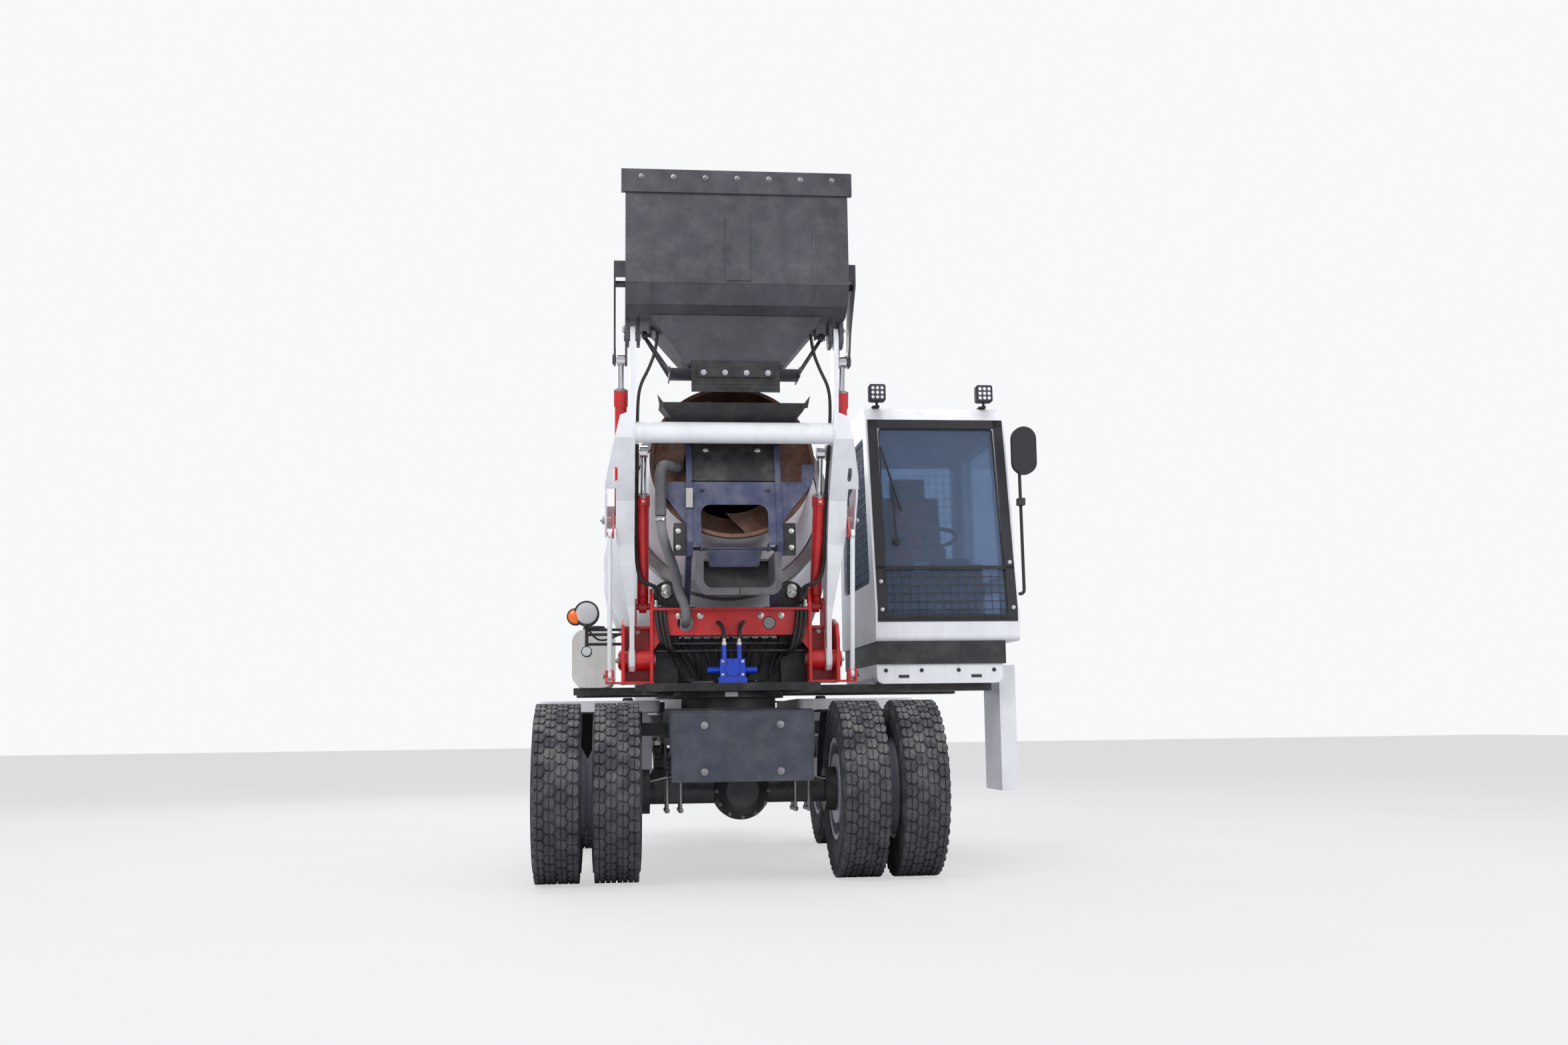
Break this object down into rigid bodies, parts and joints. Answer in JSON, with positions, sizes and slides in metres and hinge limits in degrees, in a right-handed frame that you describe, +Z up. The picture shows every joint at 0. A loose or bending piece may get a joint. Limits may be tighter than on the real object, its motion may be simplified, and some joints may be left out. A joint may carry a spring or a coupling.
{
  "type": "self-loading concrete mixer",
  "caption": "Self-loading concrete mixer: a turning upper structure with tilted drum, front loading bucket on linked arms, chute and side cab, on a two-axle chassis.",
  "frame": {"origin": "middle of the bounding box, on the ground", "axes": "+Y towards the engine end, -Y towards the loading bucket, +X towards the cab's side, +Z up"},
  "size_m": [3.3349, 4.8748, 4.2],
  "materials": {
    "tyre": "matt",
    "rim_paint": "satin",
    "black_paint": "satin",
    "spring_steel": "matt",
    "slate_paint": "satin",
    "white_paint": "gloss",
    "black_plastic": "matt",
    "cast_grey": "matt",
    "red_paint": "gloss",
    "rod_chrome": "polished",
    "charcoal_paint": "satin",
    "rubber_black": "matt",
    "slate_blue_paint": "satin",
    "chute_grey_paint": "satin",
    "hose_rubber": "matt",
    "white_plastic": "satin",
    "blue_paint": "gloss",
    "cab_glass": "clear",
    "seat_fabric": "matt"
  },
  "bodies": {
    "chassis": {"chassis_frame": "black_paint", "front_box": "slate_paint", "front_axle": "black_paint", "rear_axle": "black_paint", "leaf_springs": "spring_steel", "slew_ring_fixed": "spring_steel", "side_tanks": "white_paint", "tank_caps": "black_plastic", "mudguards": "black_plastic", "engine_block": "cast_grey", "engine_housing": "white_paint"},
    "front_wheels_right": {"front_tyres_right": "tyre", "front_rims_right": "rim_paint"},
    "front_wheels_left": {"front_tyres_left": "tyre", "front_rims_left": "rim_paint"},
    "steer_knuckle_right": {"knuckle_right": "black_paint"},
    "steer_knuckle_left": {"knuckle_left": "black_paint"},
    "steer_tie_rod": {"tie_rod": "black_paint"},
    "rear_wheel_right": {"rear_tyre_right": "tyre", "rear_rim_right": "rim_paint"},
    "rear_wheel_left": {"rear_tyre_left": "tyre", "rear_rim_left": "rim_paint"},
    "hood_lid": {"engine_lid": "white_paint"},
    "upper": {"deck": "black_paint", "front_frame": "red_paint", "drum_supports": "black_paint", "feed_hopper": "black_paint", "discharge_hopper": "slate_blue_paint", "water_pipe": "chute_grey_paint", "water_hose": "hose_rubber", "water_tank": "white_plastic", "control_valve": "blue_paint", "cab_shell": "white_paint", "cab_glass": "cab_glass", "cab_base": "black_paint", "cab_locker": "white_paint", "cab_seat": "seat_fabric", "cab_controls": "black_plastic", "roof_lamps": "black_plastic", "mirror": "black_plastic", "head_lamp": "black_plastic", "ladder": "white_paint"},
    "mixing_drum": {"drum": "white_paint", "drum_ring": "spring_steel"},
    "loader_arms": {"arms": "white_paint"},
    "rocker_pair": {"rockers": "red_paint"},
    "link_pair": {"level_links": "white_paint"},
    "lift_barrel_pair": {"lift_barrels": "red_paint"},
    "lift_rod_pair": {"lift_rods": "rod_chrome"},
    "tilt_barrel_pair": {"tilt_barrels": "red_paint"},
    "tilt_rod_pair": {"tilt_rods": "rod_chrome"},
    "loading_bucket": {"bucket": "charcoal_paint", "bucket_flap": "rubber_black"},
    "bucket_gate": {"gate": "charcoal_paint"},
    "chute": {"swing_chute": "chute_grey_paint"},
    "door": {"cab_door": "white_paint", "door_glass": "cab_glass"}
  },
  "joints": [
    {"name": "front_wheels_right_spin", "type": "hinge", "parent": "chassis", "child": "front_wheels_right", "pos_m": [0.42075, -1.9125, 0.525], "axis": [1, 0, 0], "continuous": true},
    {"name": "front_wheels_left_spin", "type": "hinge", "parent": "chassis", "child": "front_wheels_left", "pos_m": [-1.35025, -1.9125, 0.525], "axis": [1, 0, 0], "continuous": true},
    {"name": "steer_left", "type": "hinge", "parent": "chassis", "child": "steer_knuckle_left", "pos_m": [-1.20675, 0.7875, 0.525], "axis": [0, 0, 1], "range_deg": [-28, 28]},
    {"name": "steer_right", "type": "hinge", "parent": "chassis", "child": "steer_knuckle_right", "pos_m": [0.27725, 0.7875, 0.525], "axis": [0, 0, 1], "range_deg": [-28, 28]},
    {"name": "tie_rod_slide", "type": "slide", "parent": "chassis", "child": "steer_tie_rod", "axis": [1, 0, 0], "range_m": [-0.0831, 0.0831]},
    {"name": "rear_wheel_right_spin", "type": "hinge", "parent": "steer_knuckle_right", "child": "rear_wheel_right", "pos_m": [0.48525, 0.7875, 0.525], "axis": [1, 0, 0], "continuous": true},
    {"name": "rear_wheel_left_spin", "type": "hinge", "parent": "steer_knuckle_left", "child": "rear_wheel_left", "pos_m": [-1.41475, 0.7875, 0.525], "axis": [1, 0, 0], "continuous": true},
    {"name": "hood_open", "type": "hinge", "parent": "chassis", "child": "hood_lid", "pos_m": [-0.46475, 2.4285, 1.503], "axis": [-1, 0, 0], "range_deg": [0, 60]},
    {"name": "slew", "type": "hinge", "parent": "chassis", "child": "upper", "pos_m": [-0.46475, -1.2425, 1.1], "axis": [0, 0, -1], "range_deg": [0, 225]},
    {"name": "drum_turn", "type": "hinge", "parent": "upper", "child": "mixing_drum", "pos_m": [-0.46475, -1.7625, 2.54], "axis": [0, 0.9659, -0.2588], "continuous": true},
    {"name": "arms_lift", "type": "hinge", "parent": "upper", "child": "loader_arms", "pos_m": [-0.46475, -1.4625, 1.32], "axis": [-1, 0, 0], "range_deg": [-98, 0]},
    {"name": "rockers_level", "type": "hinge", "parent": "loader_arms", "child": "rocker_pair", "pos_m": [-0.46475, -1.5775, 2.19], "axis": [-1, 0, 0], "range_deg": [0, 98]},
    {"name": "links_level", "type": "hinge", "parent": "upper", "child": "link_pair", "pos_m": [-0.46475, -1.5825, 1.22], "axis": [-1, 0, 0], "range_deg": [-98, 0]},
    {"name": "lift_barrels_swing", "type": "hinge", "parent": "upper", "child": "lift_barrel_pair", "pos_m": [-0.46475, -1.4125, 1.66], "axis": [-1, 0, 0], "range_deg": [-101.75, 0]},
    {"name": "lift_rods_slide", "type": "slide", "parent": "lift_barrel_pair", "child": "lift_rod_pair", "axis": [0, -0.3697, 0.9292], "range_m": [0, 0.513]},
    {"name": "bucket_tip", "type": "hinge", "parent": "loader_arms", "child": "loading_bucket", "pos_m": [-0.46475, -2.0125, 3.26], "axis": [1, 0, 0], "range_deg": [0, 70]},
    {"name": "tilt_barrels_swing", "type": "hinge", "parent": "loader_arms", "child": "tilt_barrel_pair", "pos_m": [-0.46475, -1.5775, 2.19], "axis": [1, 0, 0], "range_deg": [-1.68, 0]},
    {"name": "tilt_rods_slide", "type": "slide", "parent": "tilt_barrel_pair", "child": "tilt_rod_pair", "axis": [0, -0.2542, 0.9671], "range_m": [0, 0.23447]},
    {"name": "gate_open", "type": "hinge", "parent": "loading_bucket", "child": "bucket_gate", "pos_m": [-0.46475, -1.9275, 3.29], "axis": [1, 0, 0], "range_deg": [0, 50]},
    {"name": "chute_swing", "type": "hinge", "parent": "upper", "child": "chute", "pos_m": [-0.46475, -1.8005, 1.9], "axis": [0, 0, 1], "range_deg": [-30, 30]},
    {"name": "door_open", "type": "hinge", "parent": "upper", "child": "door", "pos_m": [1.51625, 0.3055, 2.2], "axis": [0, 0, 1], "range_deg": [0, 85]}
  ],
  "couplings": [
    {"joint": "steer_right", "follows": "steer_left", "ratio": 1},
    {"joint": "tie_rod_slide", "follows": "steer_left", "m_per_rad": -0.17},
    {"joint": "rockers_level", "follows": "arms_lift", "ratio": -1},
    {"joint": "links_level", "follows": "arms_lift", "ratio": 1},
    {"joint": "lift_barrels_swing", "follows": "arms_lift", "ratio": 1.0381},
    {"joint": "lift_rods_slide", "follows": "arms_lift", "m_per_rad": -0.29963},
    {"joint": "tilt_barrels_swing", "follows": "bucket_tip", "ratio": -0.023872},
    {"joint": "tilt_rods_slide", "follows": "bucket_tip", "m_per_rad": 0.19151}
  ]
}
